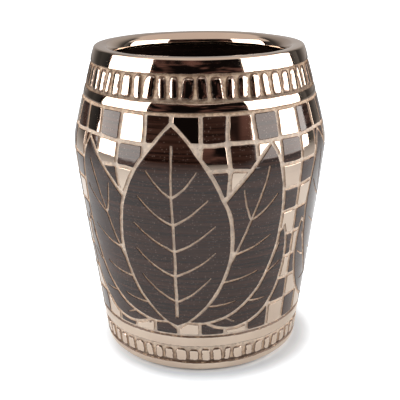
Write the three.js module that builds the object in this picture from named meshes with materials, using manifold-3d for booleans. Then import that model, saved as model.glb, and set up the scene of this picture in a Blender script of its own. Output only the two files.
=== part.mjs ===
// A small barrel-shaped bud vase: a thrown clay pot with a turned heel and a thick lip, and the coats fired
// on to it. Bands of metallic lustre ring the lip, shoulder and foot, two rows of raised tiles run round it,
// and dark glazed leaves stand on a chequered ground between them. Lines are scored through the coats.
// Millimetres, +Z up, the origin at the centre of the foot, the front of the vase towards -Y.
import * as THREE from "three";
import { mergeVertices } from "three/addons/utils/BufferGeometryUtils.js";
import Module from "manifold-3d";

const wasm = await Module();
wasm.setup();

// The finished outline of the pot
const height = 100;
const heelHeight = 1.8;
const heelRadius = 33;
const heelUndercut = 2.4;
const shoulderHeight = 71.1;
const shoulderRadius = 41.5;
const rimRadius = 33.2;
const heelBlend = 0.3;
const shoulderBlend = 0.7;

// The wall, lip, floor and foot
const wallThickness = 5.4;
const lipThickness = 6.6;
const lipEdge = 0.9;
const lipRoll = 3.5;
const throatTaper = 0.4;
const throatBlend = 0.5;
const floorThickness = 7.5;
const floorFillet = 5;
const footRingWidth = 5;
const footRecess = 2;

// The coats that are fired on to the clay
const coatThickness = 0.8;
const bondGap = 0.05;
const linerDepth = 3.9;

// The bands, from the lip down to the foot, and the scored lines between them
const lineWidth = 0.9;
const upperLineWidth = 1.2;
const frameLineWidth = 1;
const lipBandHeight = 4.1;
const upperTileHeight = 5.6;
const shoulderBandHeight = 2.4;
const footClearance = 0.4;
const footBandHeight = 3.9;
const lowerTileHeight = 4.2;
const hipBandHeight = 3.6;

// The rows of raised tiles
const tileCount = 57;
const tileLineWidth = 1.3;
const tileCrown = 0.3;
const scoreFloor = 0.2;

// The sprays of leaves on the chequered ground
const sprayCount = 3;
const sprayTurn = -12;
const sprayGap = 9;
const leafMargin = 3;
const centreLeafHalfWidth = 16;
const sideLeafSetback = 6;
const sideLeafDrop = 6;
const sideLeafHalfWidth = 12.5;
const lowLeafRise = 30;
const lowLeafHalfWidth = 8.5;
const leafSkew = 0.85;
const leafFullness = 0.8;
const leafEndLead = 1.5;

// Base, bend and tip of each midrib, as shares of the leaf's reach and rise
const centreLeafRoute = [[0, 0], [0, 0.5], [0, 1]];
const sideLeafRoute = [[0.08, 0.04], [0.75, 0.34], [1, 1]];
const lowLeafRoute = [[0.2, 0.16], [0.78, 0.14], [1, 1]];

// How finely round forms are divided
const turnSegments = 38;
const lipSteps = 2;
const filletSteps = 2;
const leafSteps = 8;
const shoulderRun = 5;
const weldTolerance = 1e-4;
const cutterReach = 0.5;

// Heights of the bands, worked out from both ends
const lipBandBottom = height - lipBandHeight;
const upperTileTop = lipBandBottom - upperLineWidth;
const upperTileBottom = upperTileTop - upperTileHeight;
const shoulderBandTop = upperTileBottom - upperLineWidth;
const shoulderBandBottom = shoulderBandTop - shoulderBandHeight;
const fieldTop = shoulderBandBottom - frameLineWidth;
const footBandTop = footClearance + footBandHeight;
const lowerTileBottom = footBandTop + lineWidth;
const lowerTileTop = lowerTileBottom + lowerTileHeight;
const hipBandBottom = lowerTileTop + lineWidth;
const hipBandTop = hipBandBottom + hipBandHeight;
const fieldBottom = hipBandTop + lineWidth;
const linerTop = height - linerDepth;
const edgeFoot = height - lipEdge;
const rollFoot = height - lipRoll;
const scoreDepth = coatThickness - scoreFloor;
const inset = coatThickness + bondGap;
const shoulderTop = shoulderHeight + shoulderRun;
const wallBends = [heelHeight, shoulderHeight - shoulderRun, shoulderHeight, shoulderTop];
const insideBends = [...wallBends, (shoulderTop + linerTop) / 2, linerTop];
const fieldRadius = (wallRadius(fieldBottom) + wallRadius(fieldTop)) / 2;
const lowLeafReach = (Math.PI * fieldRadius) / sprayCount - sprayGap / 2;
const sideLeafReach = lowLeafReach - sideLeafSetback;

// The smaller of two values, with the corner between them rounded off
function softMin(a, b, blend) {
  return (a + b) / 2 - Math.hypot((a - b) / 2, blend);
}

// The radius at a height on the straight line between two points of the outline
function lineAt(z, z0, r0, z1, r1) {
  return r0 + ((r1 - r0) * (z - z0)) / (z1 - z0);
}

// Radius of the finished outside at a height: heel, lower wall and upper wall are cones that blend
function wallRadius(z) {
  const heel = lineAt(z, 0, heelRadius - heelUndercut, heelHeight, heelRadius);
  const lower = lineAt(z, heelHeight, heelRadius, shoulderHeight, shoulderRadius);
  const upper = lineAt(z, shoulderHeight, shoulderRadius, height, rimRadius);
  return softMin(softMin(heel, lower, heelBlend), upper, shoulderBlend);
}

// Radius of the finished inside at a height: the wall's own thickness, drawn in under the lip
function innerRadius(z) {
  const throat = wallRadius(rollFoot) - lipThickness + throatTaper * (rollFoot - z);
  return softMin(wallRadius(z) - wallThickness, throat, throatBlend);
}

// Two heights and the bends of the wall that lie between them
function stations(low, high, bends) {
  return [low, ...bends.filter((z) => z > low && z < high), high];
}

// The lip, drawn in by an inset: a tight edge that runs on from the leaning wall, a level top, and a fuller
// roll into the mouth
function lipCurve(drawnIn) {
  const lean = (shoulderRadius - rimRadius) / (height - shoulderHeight);
  const arc = (centre, z, radius, from, to) => {
    return new THREE.EllipseCurve(centre, z, radius, radius, from, to).getPoints(lipSteps);
  };
  const edgeCentre = wallRadius(edgeFoot) - lipEdge * Math.hypot(1, lean);
  const rollCentre = innerRadius(rollFoot) + lipRoll;
  return [
    ...arc(edgeCentre, edgeFoot, lipEdge - drawnIn, Math.atan(lean), Math.PI / 2),
    ...arc(rollCentre, rollFoot, lipRoll - drawnIn, Math.PI / 2, Math.PI),
  ];
}

// The inside from just under the lip to the centre of the floor, drawn out by an outset
function insideCurve(top, outset) {
  const floor = floorThickness - outset;
  const turn = floor + floorFillet;
  const centre = innerRadius(turn) + outset - floorFillet;
  const wall = stations(turn, top, insideBends).reverse();
  const points = wall.map((z) => new THREE.Vector2(innerRadius(z) + outset, z));
  const fillet = new THREE.EllipseCurve(centre, turn, floorFillet, floorFillet, 0, -Math.PI / 2, true);
  return [...points, ...fillet.getPoints(filletSteps).slice(1), new THREE.Vector2(0, floor)];
}

// A profile in radius and height, turned about the axis of the pot
function turned(profile, segments = turnSegments) {
  const geometry = new THREE.LatheGeometry(profile, segments);
  return geometry.rotateX(Math.PI / 2);
}

// A closed mesh as a solid that can be cut and joined
function solidFrom(geometry) {
  const bare = geometry.index ? geometry.toNonIndexed() : geometry.clone();
  bare.deleteAttribute("normal");
  bare.deleteAttribute("uv");
  const welded = mergeVertices(bare, weldTolerance);
  const vertProperties = welded.attributes.position.array;
  return new wasm.Manifold(new wasm.Mesh({ numProp: 3, vertProperties, triVerts: welded.index.array }));
}

// A solid as a geometry that three.js can draw
function geometryFrom(solid) {
  const mesh = solid.getMesh();
  const geometry = new THREE.BufferGeometry();
  geometry.setAttribute("position", new THREE.BufferAttribute(mesh.vertProperties, 3));
  geometry.setIndex(new THREE.BufferAttribute(mesh.triVerts, 1));
  return geometry;
}

// The largest body of a solid, without the crumbs that lines close together cut off
function mainBody(solid) {
  return solid.decompose().sort((a, b) => b.volume() - a.volume())[0];
}

// The clay: foot ring, outer wall, lip, inner wall and floor, all drawn back to make room for the coats
function clayBody() {
  const recessRadius = wallRadius(0) - inset - footRingWidth;
  const wall = stations(0, edgeFoot, wallBends);
  const profile = [
    new THREE.Vector2(0, footRecess),
    new THREE.Vector2(recessRadius, footRecess),
    new THREE.Vector2(recessRadius, 0),
    ...wall.map((z) => new THREE.Vector2(wallRadius(z) - inset, z)),
    ...lipCurve(inset).slice(0, -1),
    ...insideCurve(rollFoot, inset),
  ];
  return turned(profile);
}

// The glaze that lines the inside, up to where the lustre of the lip begins
function linerGlaze() {
  const seat = insideCurve(linerTop, coatThickness).reverse();
  return turned([...seat, ...insideCurve(linerTop, 0)]);
}

// The lustre over the lip, from its scored line outside to the top of the liner inside
function lipBand() {
  const outside = stations(lipBandBottom, edgeFoot, wallBends);
  const inside = stations(linerTop + bondGap, rollFoot, insideBends).reverse();
  const skin = (drawnIn) => [
    ...outside.map((z) => new THREE.Vector2(wallRadius(z) - drawnIn, z)),
    ...lipCurve(drawnIn).slice(0, -1),
    ...inside.map((z) => new THREE.Vector2(innerRadius(z) + drawnIn, z)),
  ];
  const face = skin(0);
  return turned([...face, ...skin(coatThickness).reverse(), face[0]]);
}

// A plain coat round the outside between two heights
function wallCoat(low, high) {
  const heights = stations(low, high, wallBends);
  const face = heights.map((z) => new THREE.Vector2(wallRadius(z), z));
  const seat = heights.map((z) => new THREE.Vector2(wallRadius(z) - coatThickness, z));
  return turned([...face, ...seat.reverse(), face[0]]);
}

// A coat with one flat for each tile, and its upper and lower edges eased so that the tiles are cushions.
// Its seat is let out to where the flats clear the clay.
function crownedCoat(low, high) {
  const eased = (z, drop) => new THREE.Vector2(wallRadius(z) - drop, z);
  const flatOut = 1 / Math.cos(Math.PI / tileCount);
  const seated = (z) => new THREE.Vector2((wallRadius(z) - coatThickness) * flatOut, z);
  const face = [eased(low, tileCrown), eased((low + high) / 2, 0), eased(high, tileCrown)];
  return turned([...face, seated(high), seated(low), face[0]], tileCount);
}

// A slot that runs up the wall at one angle, as deep as a scored line
function uprightScore(low, high, width, angle) {
  const heights = stations(low - cutterReach, high + cutterReach, wallBends);
  const floor = heights.map((z) => new THREE.Vector2(wallRadius(z) - scoreDepth, z));
  const clear = heights.map((z) => new THREE.Vector2(wallRadius(z) + cutterReach, z));
  const section = new THREE.Shape([...floor, ...clear.reverse()]);
  const slot = new THREE.ExtrudeGeometry(section, { depth: width, bevelEnabled: false });
  slot.translate(0, 0, -width / 2);
  slot.rotateX(Math.PI / 2);
  return solidFrom(slot.rotateZ(angle - Math.PI / 2));
}

// A row of raised tiles: one eased band, scored into even tiles
function tileBand(low, high) {
  let band = solidFrom(crownedCoat(low, high));
  for (let k = 0; k < tileCount; k++) {
    const angle = (2 * Math.PI * k) / tileCount;
    band = band.subtract(uprightScore(low, high, tileLineWidth, angle));
  }
  return geometryFrom(band);
}

// The five leaves of a spray, front one first, with their midribs as drawn on the unrolled wall
function sprayLeaves() {
  const base = fieldBottom + leafMargin;
  const tip = fieldTop - leafMargin;
  const drawn = (name, halfWidth, route, reach, rise) => {
    const points = route.map(([x, z]) => new THREE.Vector2(x * reach, base + z * rise));
    return { name, halfWidth, midrib: new THREE.QuadraticBezierCurve(...points) };
  };
  const rise = tip - base;
  const sideRise = rise - sideLeafDrop;
  return [
    drawn("centre_leaf", centreLeafHalfWidth, centreLeafRoute, 0, rise),
    drawn("left_leaf", sideLeafHalfWidth, sideLeafRoute, -sideLeafReach, sideRise),
    drawn("right_leaf", sideLeafHalfWidth, sideLeafRoute, sideLeafReach, sideRise),
    drawn("left_low_leaf", lowLeafHalfWidth, lowLeafRoute, -lowLeafReach, lowLeafRise),
    drawn("right_low_leaf", lowLeafHalfWidth, lowLeafRoute, lowLeafReach, lowLeafRise),
  ];
}

// A leaf's outline on the unrolled wall: swelling from the base, pointed at both ends, let out by a margin
function leafOutline({ midrib, halfWidth }, margin) {
  const end = (t, ahead) => midrib.getPoint(t).addScaledVector(midrib.getTangent(t), ahead);
  const beside = (t, side) => {
    const along = midrib.getTangent(t);
    const across = new THREE.Vector2(along.y, -along.x);
    const swell = halfWidth * Math.pow(Math.sin(Math.PI * Math.pow(t, leafSkew)), leafFullness);
    return midrib.getPoint(t).addScaledVector(across, side * (swell + margin));
  };
  const steps = Array.from({ length: leafSteps - 1 }, (_, k) => (k + 1) / leafSteps);
  const lead = margin * leafEndLead;
  const right = steps.map((t) => beside(t, 1));
  const left = steps.map((t) => beside(t, -1));
  return [end(0, -lead), ...right, end(1, lead), ...left.reverse()];
}

// A leaf as a prism that passes through the front of the wall, turned to the place of its spray
function leafPrism(leaf, margin, angle) {
  const outline = leafOutline(leaf, margin).map(({ x, y }) => {
    return new THREE.Vector2(wallRadius(y) * Math.sin(x / fieldRadius), y);
  });
  const prism = new THREE.ExtrudeGeometry(new THREE.Shape(outline), {
    depth: shoulderRadius + cutterReach,
    bevelEnabled: false,
  });
  prism.rotateX(Math.PI / 2);
  return solidFrom(prism.rotateZ(angle));
}

// The picture field: each leaf is its own island of glaze, and what is left round them is the ground
function pictureField() {
  const leaves = [];
  let ground = solidFrom(wallCoat(fieldBottom, fieldTop));
  for (let spray = 0; spray < sprayCount; spray++) {
    const angle = THREE.MathUtils.degToRad(sprayTurn + (360 * spray) / sprayCount);
    for (const leaf of sprayLeaves()) {
      const island = ground.intersect(leafPrism(leaf, 0, angle));
      leaves.push({ name: `spray_${spray + 1}_${leaf.name}`, geometry: geometryFrom(mainBody(island)) });
      ground = ground.subtract(leafPrism(leaf, frameLineWidth, angle));
    }
  }
  return { ground: geometryFrom(mainBody(ground)), leaves };
}

const clay = new THREE.MeshStandardMaterial({ color: 0xc79f7e, roughness: 0.6, metalness: 0 });
const darkGlaze = new THREE.MeshStandardMaterial({ color: 0x2b211d, roughness: 0.15, metalness: 0 });
const liner = new THREE.MeshStandardMaterial({ color: 0x1c1412, roughness: 0.2, metalness: 0 });
const lustre = new THREE.MeshStandardMaterial({ color: 0xd0b9a8, roughness: 0.08, metalness: 1 });

const vase = new THREE.Group();

function addPiece(name, geometry, material) {
  const piece = new THREE.Mesh(geometry, material);
  piece.name = name;
  vase.add(piece);
}

const field = pictureField();
addPiece("clay_body", clayBody(), clay);
addPiece("liner_glaze", linerGlaze(), liner);
addPiece("lip_lustre", lipBand(), lustre);
addPiece("upper_tile_band", tileBand(upperTileBottom, upperTileTop), lustre);
addPiece("shoulder_lustre", wallCoat(shoulderBandBottom, shoulderBandTop), lustre);
addPiece("check_ground", field.ground, darkGlaze);
for (const { name, geometry } of field.leaves) addPiece(name, geometry, darkGlaze);
addPiece("hip_lustre", wallCoat(hipBandBottom, hipBandTop), lustre);
addPiece("lower_tile_band", tileBand(lowerTileBottom, lowerTileTop), lustre);
addPiece("foot_lustre", wallCoat(footClearance, footBandTop), lustre);

export default vase;
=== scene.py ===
import math
import random

import bmesh
import bpy
from mathutils import Matrix, Vector, geometry, kdtree, noise


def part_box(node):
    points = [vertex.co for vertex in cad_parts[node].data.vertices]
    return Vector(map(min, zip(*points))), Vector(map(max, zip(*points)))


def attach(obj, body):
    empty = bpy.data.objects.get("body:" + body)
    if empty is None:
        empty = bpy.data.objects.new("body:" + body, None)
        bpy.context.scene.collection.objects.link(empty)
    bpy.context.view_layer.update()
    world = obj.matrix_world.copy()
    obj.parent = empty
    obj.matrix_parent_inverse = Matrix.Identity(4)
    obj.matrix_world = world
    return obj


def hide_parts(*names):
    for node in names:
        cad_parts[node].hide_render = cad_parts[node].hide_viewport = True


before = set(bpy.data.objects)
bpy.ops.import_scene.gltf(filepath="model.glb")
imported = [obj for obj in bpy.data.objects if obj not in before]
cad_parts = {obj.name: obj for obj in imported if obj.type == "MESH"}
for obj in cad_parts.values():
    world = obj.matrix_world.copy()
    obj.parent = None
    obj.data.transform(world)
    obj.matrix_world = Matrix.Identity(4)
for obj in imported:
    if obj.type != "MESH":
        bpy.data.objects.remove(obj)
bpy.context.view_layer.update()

scene = bpy.context.scene
MM = 0.001

# The finished outline of the pot, in millimetres, as the solids have it
HEIGHT = 100.0
HEEL_HEIGHT, HEEL_RADIUS, HEEL_UNDERCUT = 1.8, 33.0, 2.4
SHOULDER_HEIGHT, SHOULDER_RADIUS = 71.1, 41.5
RIM_RADIUS = 33.2
HEEL_BLEND, SHOULDER_BLEND = 0.3, 0.7
WALL_THICKNESS = 5.4
LIP_THICKNESS, LIP_EDGE, LIP_ROLL = 6.6, 0.9, 3.5
EDGE_FOOT, ROLL_FOOT = HEIGHT - LIP_EDGE, HEIGHT - LIP_ROLL
THROAT_TAPER, THROAT_BLEND = 0.4, 0.5
FLOOR_THICKNESS, FLOOR_FILLET = 7.5, 5.0
FOOT_RING, FOOT_RECESS, FOOT_EASE = 5.0, 2.0, 0.4

# Points that ease the corners of the foot ring, across and up from each corner
RECESS_CORNER = ((-0.5, 0.0), (-0.1, -0.2), (0.0, -0.6))
RING_INNER_CORNER = ((0.1, 0.3), (0.5, 0.0))
RING_OUTER_CORNER = ((-0.4, 0.0), (-0.1, 0.06))

# How finely the pot is spun: steps in a full turn, and along the section in millimetres or in steps of an arc
CLAY_TURN, LINER_TURN, COAT_TURN = 240, 180, 260
CLAY_STEP, LINER_STEP, HIDDEN_STEP = 0.8, 0.9, 6.0
LIP_STEP, ROLL_STEP, BAND_STEP = 0.3, 0.2, 0.25
CLAY_LIP_STEPS, COAT_LIP_STEPS, FILLET_STEPS = 4, 12, 8
FLOOR_RINGS = (0.8, 0.6, 0.4, 0.2, 0.08)
MERGE, CUT_TOLERANCE = 1e-4, 1e-5

# The coats: how far they stand on the scored clay, how deep they are seated, and their rounded edges
RELIEF = 0.55
SEAT = 0.15
EDGE = 0.18
EDGE_STATIONS = (0, 0.05, 0.17, 0.38, 0.67, 1)
EDGE_STEPS = ((0.03, 0.09), (0.06, 0.06), (0.09, 0.03))
LINER_THICKNESS, LINER_GAP = 0.8, 0.05

# The lustre: the dome of the lip's top, the swell and spread of the lip's coat, and the edges that wear
LIP_DOME, LIP_CROWN, LIP_SPREAD = 0.05, 0.1, 0.3
BAND_RIM = 0.4
BROW, BROW_WEAR = 0.5, 0.75

# The hand of the potter: how far walls, lines and brushed edges stray from true
WALL_STRAY, WALL_TREMOR = 0.13, 0.35
LINE_STRAY, LINE_TREMOR, LINE_CHANGE = 0.2, 0.6, 3
LIP_STRAY = 0.12
BRUSH_REACH, BRUSH_STRAY, BRUSH_TREMOR = 1.2, 0.5, 0.35
STRAY_HEIGHT, STRAY_SEED = 40, 7.3

# Scrapes of the tool on the clay, as height and fineness, and the ridges that fingers leave inside
SCRAPES = ((0.05, 0.9), (0.03, 2.3))
RIDGE, RIDGE_PITCH, RIDGE_STRAY = 0.10, 4.6, 0.12
RIDGE_TOP_GAP, RIDGE_CENTRE_GAP = 1.5, 4

# The rows of raised tiles: their outline, their rim and how far a hand lets one differ from the next
TILE_COUNT = 57
TILE_TURN = -1.7
TILE_STEPS = 8
TILE_POWER = 8
TILE_ARCH_TOP, TILE_ARCH_FOOT, TILE_CORNER = 0.34, 0.22, 0.22
TILE_END_DROP = 0.6
TILE_BROW_START, TILE_BROW_REACH = 0.7, 0.3
TILE_WEAR, TILE_END_RIM, TILE_BROW_RIM, TILE_BROW_RATE = 0.65, 0.7, 0.3, 3
TILE_DRIFT, TILE_LEAN, TILE_BOW, TILE_SKEW, TILE_SHIFT = 0.13, 0.1, 0.12, 0.25, 0.1
TILE_SCORE_RANGE, TILE_CROWN_RANGE, TILE_GROWTH = (0.8, 1.2), (0.8, 1.1), 0.3

# The picture field: sprays of leaves on a chequered ground
SPRAY_COUNT = 3
SPRAY_TURN = -12.0
SPRAY_GAP = 9.0
LEAF_MARGIN = 3.0
LEAF_SKEW, LEAF_FULLNESS, LEAF_END_LEAD = 0.85, 0.8, 1.5
CENTRE_LEAF_SWELL, SIDE_LEAF_SWELL, LOW_LEAF_SWELL = 16.0, 12.5, 8.5
SIDE_LEAF_SETBACK, SIDE_LEAF_DROP, LOW_LEAF_RISE = 6.0, 6.0, 30.0
CHECK_COLUMNS, CHECK_ROWS = 10, 9
CHECK_SCORE, CHECK_STRAY = 1.0, 0.35
CHECK_CORNER, CHECK_CORNER_PULL, CHECK_SIDE_STEP = 0.5, 0.3, 1.1
OUTLINE_SCORE = 1.1
LEAF_STEPS = 44
SHEET_STEP, SHEET_CLEARANCE = 1.5, 0.95
CRUMB = 1.6
PIECE_SHARP, ISLAND_SHARP = 55, 12
FIELD_SEED = 40

# The scored midrib and veins, as shares of the leaf's length and width, and their half widths at root and tip
RIB_START, RIB_END, RIB_STEP = 0.05, 0.92, 0.03
FIRST_VEIN, VEIN_SPREAD, VEIN_LEAD, VEIN_BEND = 0.14, 0.54, 0.13, 0.035
VEIN_REACH, VEIN_STEP = 0.74, 0.1
RIB_WIDTHS, VEIN_WIDTHS = (0.5, 0.22), (0.36, 0.15)

# Tremor of the drawn lines: how fine and how strong, and where the joints of the field hold it still
SLOW_SCALE, SLOW_DRIFT, SLOW_SEED = 0.12, 0.3, 5.1
QUICK_SCALE, QUICK_DRIFT, QUICK_SEED = 0.55, 0.13, 3.7
SIDE_HOLD, END_HOLD = 3, 2

# The tremor is the same on every run
noise.seed_set(FIELD_SEED)


def soft_min(a, b, blend):
    """The lesser of two values, with a smooth change from one to the other."""
    return (a + b) / 2 - math.hypot((a - b) / 2, blend)


def line_at(z, z0, r0, z1, r1):
    return r0 + (r1 - r0) * (z - z0) / (z1 - z0)


def wall_radius(z):
    """Radius of the finished outside at a height."""
    heel = line_at(z, 0, HEEL_RADIUS - HEEL_UNDERCUT, HEEL_HEIGHT, HEEL_RADIUS)
    lower = line_at(z, HEEL_HEIGHT, HEEL_RADIUS, SHOULDER_HEIGHT, SHOULDER_RADIUS)
    upper = line_at(z, SHOULDER_HEIGHT, SHOULDER_RADIUS, HEIGHT, RIM_RADIUS)
    return soft_min(soft_min(heel, lower, HEEL_BLEND), upper, SHOULDER_BLEND)


def inner_radius(z):
    """Radius of the inside at a height."""
    throat = wall_radius(ROLL_FOOT) - LIP_THICKNESS + THROAT_TAPER * (ROLL_FOOT - z)
    return soft_min(wall_radius(z) - WALL_THICKNESS, throat, THROAT_BLEND)


def span(node):
    """Lowest and highest point of a solid, in millimetres."""
    low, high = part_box(node)
    return low.z / MM, high.z / MM


def spaced(low, high, step):
    """Even stations from one end to the other, about a step apart."""
    count = max(1, round((high - low) / step))
    return [low + (high - low) * k / count for k in range(count + 1)]


def turn_of(x, y):
    """Angle round the pot, from the front towards the right."""
    return math.atan2(x, -y)


def stray(angle, z, reach, seed):
    """A slow wander round and up the pot, the same wherever it is asked for."""
    rise = z / (STRAY_HEIGHT * reach) + STRAY_SEED * seed
    return noise.noise(Vector((math.sin(angle) / reach, math.cos(angle) / reach, rise)))


def wall_hand(angle, z):
    """How far the wall strays in or out."""
    slow, quick = stray(angle, z, reach=0.55, seed=1), stray(angle, z, reach=0.2, seed=2)
    return WALL_STRAY * (slow + WALL_TREMOR * quick)


def on_wall(angle, z, stand):
    """A point of the outside, standing so far off the scored clay."""
    radius = wall_radius(z) - RELIEF + stand + wall_hand(angle, z)
    return Vector((radius * math.sin(angle), -radius * math.cos(angle), z))


def spin_section(section, steps, closed):
    """A section in radius and height, spun into a full turn about the pot's axis."""
    bm = bmesh.new()
    verts = [bm.verts.new((0, -r, z)) for r, z in section]
    pairs = list(zip(verts, verts[1:]))
    if closed:
        pairs.append((verts[-1], verts[0]))
    edges = [bm.edges.new(pair) for pair in pairs]
    bmesh.ops.spin(bm, geom=verts + edges, cent=(0, 0, 0), axis=(0, 0, 1), dvec=(0, 0, 0),
                   angle=math.tau, steps=steps, use_merge=True)
    bmesh.ops.remove_doubles(bm, verts=bm.verts, dist=MERGE)
    bmesh.ops.recalc_face_normals(bm, faces=bm.faces)
    return bm


def of_kind(kind, geom):
    """The vertices, edges or faces among what an operator gives back."""
    return [item for item in geom if isinstance(item, kind)]


def islands(bm):
    """The separate shells of a bmesh, each a list of faces."""
    left = set(bm.faces)
    shells = []
    while left:
        shell, ahead = [], [left.pop()]
        while ahead:
            face = ahead.pop()
            shell.append(face)
            for edge in face.edges:
                for other in edge.link_faces:
                    if other in left:
                        left.remove(other)
                        ahead.append(other)
        shells.append(shell)
    return shells


def face_outwards(bm):
    """Turns every closed shell of a bmesh the right way out."""
    bm.normal_update()
    bmesh.ops.recalc_face_normals(bm, faces=bm.faces)
    for shell in islands(bm):
        if sum(face.normal.dot(face.calc_center_median()) * face.calc_area() for face in shell) < 0:
            bmesh.ops.reverse_faces(bm, faces=shell)


def coat_section(face):
    """The closed section of a coat: its face with both ends rounded over, and its seat in the clay."""
    ahead = [Vector(b) - Vector(a) for a, b in zip(face, face[1:])]
    lengths = [step.length for step in ahead]
    total = sum(lengths)
    run = 0.0
    outside, seat = [], []
    for k, point in enumerate(face):
        along = ahead[max(k - 1, 0)].normalized() + ahead[min(k, len(ahead) - 1)].normalized()
        out = Vector((along.y, -along.x)).normalized()
        near = min(run, total - run)
        drop = 0.0
        if near < EDGE:
            drop = EDGE * (1 - math.sqrt(1 - (1 - near / EDGE) ** 2))
        outside.append(Vector(point) - out * drop)
        seat.append(Vector(point) - out * (RELIEF + SEAT))
        if k < len(lengths):
            run += lengths[k]
    return outside + seat[::-1]


def eased(low, high, step):
    """Stations from one end to the other, close together where the ends are rounded."""
    ends = [share * EDGE for share in EDGE_STATIONS]
    middle = spaced(low + EDGE, high - EDGE, step)[1:-1]
    return [low + d for d in ends] + middle + [high - d for d in reversed(ends)]


def make_object(name, bm, materials):
    """Turns a bmesh into an object of the scene."""
    mesh = bpy.data.meshes.new(name)
    bm.to_mesh(mesh)
    bm.free()
    for material in materials:
        mesh.materials.append(material)
    made = bpy.data.objects.new(name, mesh)
    scene.collection.objects.link(made)
    return made


def finish_piece(name, bm, materials, slot, nodes=(), sharp=PIECE_SHARP):
    """Turns a bmesh in millimetres into a piece of the vase."""
    bmesh.ops.scale(bm, vec=(MM, MM, MM), verts=bm.verts)
    piece = make_object(name, bm, materials)
    piece.data.shade_smooth()
    piece.data.set_sharp_from_angle(angle=math.radians(sharp))
    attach(piece, "root")
    if nodes:
        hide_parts(*nodes)


# Shader groups that several finishes share

class Nodes:
    """A node tree with short calls for adding nodes and joining them."""

    def __init__(self, tree):
        self.tree = tree

    def add(self, kind, values=None, **settings):
        """A new node; a value is another node's output or a number or colour of its own."""
        node = self.tree.nodes.new(kind)
        for key, value in settings.items():
            setattr(node, key, value)
        for socket, value in (values or {}).items():
            if isinstance(value, bpy.types.NodeSocket):
                self.tree.links.new(value, node.inputs[socket])
            else:
                node.inputs[socket].default_value = value
        return node

    def math(self, operation, a, b=0.0, c=0.0, clamp=False):
        return self.add("ShaderNodeMath", {0: a, 1: b, 2: c}, operation=operation, use_clamp=clamp).outputs[0]

    def times(self, a, b):
        return self.math("MULTIPLY", a, b)

    def ramp(self, value, low, high, start=0.0, end=1.0):
        """A value between two limits, spread smoothly over two others."""
        spread = {"Value": value, "From Min": low, "From Max": high, "To Min": start, "To Max": end}
        return self.add("ShaderNodeMapRange", spread, interpolation_type="SMOOTHSTEP").outputs["Result"]

    def blend(self, factor, a, b):
        """One colour laid over another by a mask."""
        return self.add("ShaderNodeMix", {0: factor, 6: a, 7: b}, data_type="RGBA").outputs[2]

    def place(self):
        """The pot's own coordinates."""
        return self.add("ShaderNodeTexCoord").outputs["Object"]

    def along(self, axis):
        """The place along one axis."""
        return self.add("ShaderNodeSeparateXYZ", {0: self.place()}).outputs[axis]

    def noise(self, per_metre, detail=2.0, stretch=None):
        """Noise on the pot's own coordinates, drawn out along an axis where a stretch is given."""
        place = self.place()
        if stretch:
            place = self.add("ShaderNodeMapping", {"Vector": place, "Scale": stretch}).outputs["Vector"]
        texture = self.add("ShaderNodeTexNoise", {"Vector": place, "Scale": per_metre, "Detail": detail})
        return texture.outputs["Fac"]

    def group(self, tree, values):
        """What a shared group puts out with a finish's own values."""
        return self.add("ShaderNodeGroup", values, node_tree=tree).outputs[0]

    def link(self, source, socket):
        self.tree.links.new(source, socket)


def shader_group(name, inputs, output):
    """An empty group with named sockets: its nodes, its input sockets and the socket to feed."""
    tree = bpy.data.node_groups.new(name, "ShaderNodeTree")
    for label, default in inputs.items():
        socket = tree.interface.new_socket(label, in_out="INPUT", socket_type="NodeSocketFloat")
        socket.default_value = default
    tree.interface.new_socket(output, in_out="OUTPUT", socket_type="NodeSocketFloat")
    nodes = Nodes(tree)
    given = nodes.add("NodeGroupInput").outputs
    result = nodes.add("NodeGroupOutput").inputs[0]
    return nodes, given, result


def throwing_lines_group():
    """Fine level lines that the wheel draws in a coat, broken up along their length."""
    nodes, given, result = shader_group("throwing lines", {"Lines per Metre": 900.0, "Breaks": 30.0}, "Lines")
    breaks, lines = given["Breaks"], given["Lines per Metre"]
    scale = nodes.add("ShaderNodeCombineXYZ", {0: breaks, 1: breaks, 2: lines}).outputs[0]
    drawn = nodes.add("ShaderNodeVectorMath", {0: nodes.place(), 1: scale}, operation="MULTIPLY")
    streak = nodes.add("ShaderNodeTexNoise", {"Vector": drawn.outputs[0], "Scale": 1.0, "Detail": 3.0})
    nodes.link(nodes.ramp(streak.outputs["Fac"], 0.32, 0.68), result)
    return nodes.tree


def speckle_group():
    """Small fired specks, scattered over a surface."""
    nodes, given, result = shader_group("fired speckle", {"Specks per Metre": 1800.0, "Share": 0.2}, "Specks")
    spacing = {"Vector": nodes.place(), "Scale": given["Specks per Metre"]}
    cells = nodes.add("ShaderNodeTexVoronoi", spacing)
    dot = nodes.ramp(cells.outputs["Distance"], 0.42, 0.12)
    pick = nodes.add("ShaderNodeSeparateColor", {0: cells.outputs["Color"]}).outputs[0]
    chosen = nodes.math("LESS_THAN", pick, given["Share"])
    nodes.link(nodes.times(dot, chosen), result)
    return nodes.tree


def thin_edge_group():
    """Where a coat thins out at a scored edge, ragged as the tool left it."""
    nodes, given, result = shader_group("thin edge", {"Raggedness": 0.5, "Reach": 1.0}, "Thin")
    rim = nodes.add("ShaderNodeAttribute", attribute_name="rim").outputs["Fac"]
    rag = nodes.math("SUBTRACT", nodes.noise(per_metre=900.0, detail=3.0), 0.5)
    torn = nodes.math("MULTIPLY_ADD", rag, given["Raggedness"], rim)
    thin = nodes.math("MULTIPLY", nodes.ramp(torn, 0.25, 0.95), given["Reach"], clamp=True)
    nodes.link(thin, result)
    return nodes.tree


THROWING_LINES = throwing_lines_group()
SPECKLE = speckle_group()
THIN_EDGE = thin_edge_group()


def new_finish(name):
    """A new material, its nodes and its shader."""
    material = bpy.data.materials.new(name)
    material.use_nodes = True
    return material, Nodes(material.node_tree), material.node_tree.nodes["Principled BSDF"]


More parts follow.
